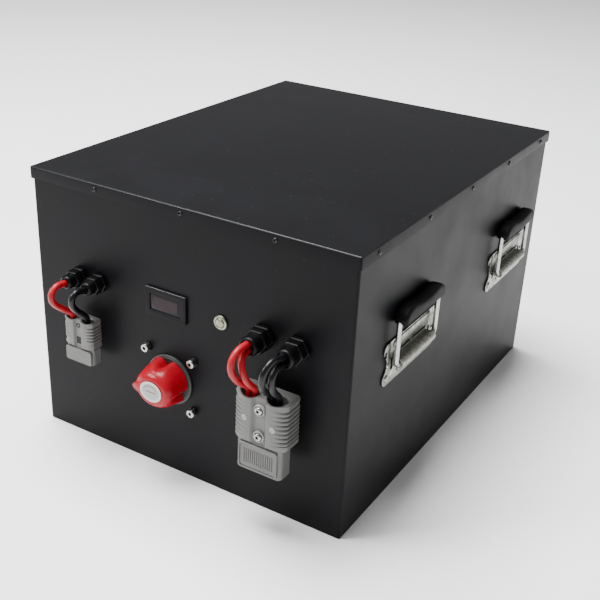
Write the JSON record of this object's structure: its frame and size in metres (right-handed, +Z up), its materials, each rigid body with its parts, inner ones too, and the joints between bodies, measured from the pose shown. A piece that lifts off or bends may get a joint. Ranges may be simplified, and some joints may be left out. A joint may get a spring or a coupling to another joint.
{
  "type": "battery pack",
  "caption": "Lithium battery pack in a black steel case with spring handles, isolator switch, meter, wake button and leads to two grey high-current connectors.",
  "frame": {"origin": "centre of the case's underside", "axes": "+Z up, -Y out of the switch panel, +X to the right seen from the panel"},
  "size_m": [0.3896, 0.5179, 0.285],
  "materials": {
    "case_paint": "black powder coat, fine orange peel, satin",
    "gasket_foam": "closed-cell foam strip",
    "zinc_plate": "bright zinc plate on pressed steel",
    "grip_vinyl": "moulded vinyl grip, matte",
    "switch_red": "red moulded plastic, semi-gloss",
    "switch_black": "glass-filled nylon",
    "collar_grey": "grey moulded plastic",
    "cap_white": "white insert with a grey centre",
    "stainless": "stainless steel",
    "meter_plastic": "black moulded plastic",
    "meter_smoke": "smoked window over a dark display",
    "gland_nylon": "black nylon, slight sheen",
    "lead_red": "red silicone insulation",
    "lead_black": "black silicone insulation",
    "connector_grey": "grey moulded polycarbonate",
    "cell_blue": "blue film over an aluminium can",
    "fibreglass": "woven glass laminate",
    "heat_sink": "anodised extrusion",
    "brass": "plated brass"
  },
  "bodies": {
    "case": {"case_shell": "case_paint", "lid": "case_paint", "lid_gasket": "gasket_foam", "cell_1": "cell_blue", "cell_2": "cell_blue", "cell_3": "cell_blue", "cell_4": "cell_blue", "cell_5": "cell_blue", "cell_6": "cell_blue", "cell_7": "cell_blue", "cell_8": "cell_blue", "end_plate_front": "fibreglass", "end_plate_rear": "fibreglass", "busbar_carrier": "fibreglass", "battery_manager": "heat_sink", "switch_collar": "collar_grey", "switch_housing": "switch_black", "switch_screw_1": "stainless", "switch_screw_2": "stainless", "switch_screw_3": "stainless", "switch_screw_4": "stainless", "meter_bezel": "meter_plastic", "meter_window": "meter_smoke", "meter_module": "meter_plastic", "button_body": "stainless", "button_nut": "stainless", "gland_body_power_red": "gland_nylon", "gland_nut_power_red": "gland_nylon", "gland_body_power_black": "gland_nylon", "gland_nut_power_black": "gland_nylon", "gland_body_charge_red": "gland_nylon", "gland_nut_charge_red": "gland_nylon", "gland_body_charge_black": "gland_nylon", "gland_nut_charge_black": "gland_nylon", "charge_lead_red": "lead_red", "charge_lead_black": "lead_black", "power_lead_red_upper": "lead_red", "power_lead_red_lower": "lead_red", "power_lead_black_upper": "lead_black", "power_lead_black_lower": "lead_black", "charge_connector": "connector_grey", "power_connector": "connector_grey", "power_connector_screw_upper": "stainless", "power_connector_screw_lower": "stainless", "handle_plate_right_front": "zinc_plate", "handle_plate_right_rear": "zinc_plate", "handle_plate_left_front": "zinc_plate", "handle_plate_left_rear": "zinc_plate"},
    "switch_knob_body": {"switch_knob": "switch_red", "switch_cap": "cap_white", "switch_rotor": "brass"},
    "button_cap_body": {"button_cap": "stainless"},
    "handle_right_front": {"handle_bail_right_front": "zinc_plate", "handle_grip_right_front": "grip_vinyl"},
    "handle_right_rear": {"handle_bail_right_rear": "zinc_plate", "handle_grip_right_rear": "grip_vinyl"},
    "handle_left_front": {"handle_bail_left_front": "zinc_plate", "handle_grip_left_front": "grip_vinyl"},
    "handle_left_rear": {"handle_bail_left_rear": "zinc_plate", "handle_grip_left_rear": "grip_vinyl"}
  },
  "joints": [
    {"name": "switch_turn", "type": "hinge", "parent": "case", "child": "switch_knob_body", "pos_m": [-0.0145, -0.229, 0.1045], "axis": [0, -1, 0], "range_deg": [0, 90]},
    {"name": "button_press", "type": "slide", "parent": "case", "child": "button_cap_body", "axis": [0, 1, 0], "range_m": [0, 0.0022], "stiffness_N_per_m": 600, "springref_m": -0.003},
    {"name": "handle_right_front_swing", "type": "hinge", "parent": "case", "child": "handle_right_front", "pos_m": [0.187, -0.114, 0.152], "axis": [0, 1, 0], "range_deg": [0, 90], "stiffness_Nm_per_rad": 0.12, "springref_deg": -40.11},
    {"name": "handle_right_rear_swing", "type": "hinge", "parent": "case", "child": "handle_right_rear", "pos_m": [0.187, 0.136, 0.152], "axis": [0, 1, 0], "range_deg": [0, 90], "stiffness_Nm_per_rad": 0.12, "springref_deg": -40.11},
    {"name": "handle_left_front_swing", "type": "hinge", "parent": "case", "child": "handle_left_front", "pos_m": [-0.187, -0.114, 0.152], "axis": [0, -1, 0], "range_deg": [0, 90], "stiffness_Nm_per_rad": 0.12, "springref_deg": -40.11},
    {"name": "handle_left_rear_swing", "type": "hinge", "parent": "case", "child": "handle_left_rear", "pos_m": [-0.187, 0.136, 0.152], "axis": [0, -1, 0], "range_deg": [0, 90], "stiffness_Nm_per_rad": 0.12, "springref_deg": -40.11}
  ]
}
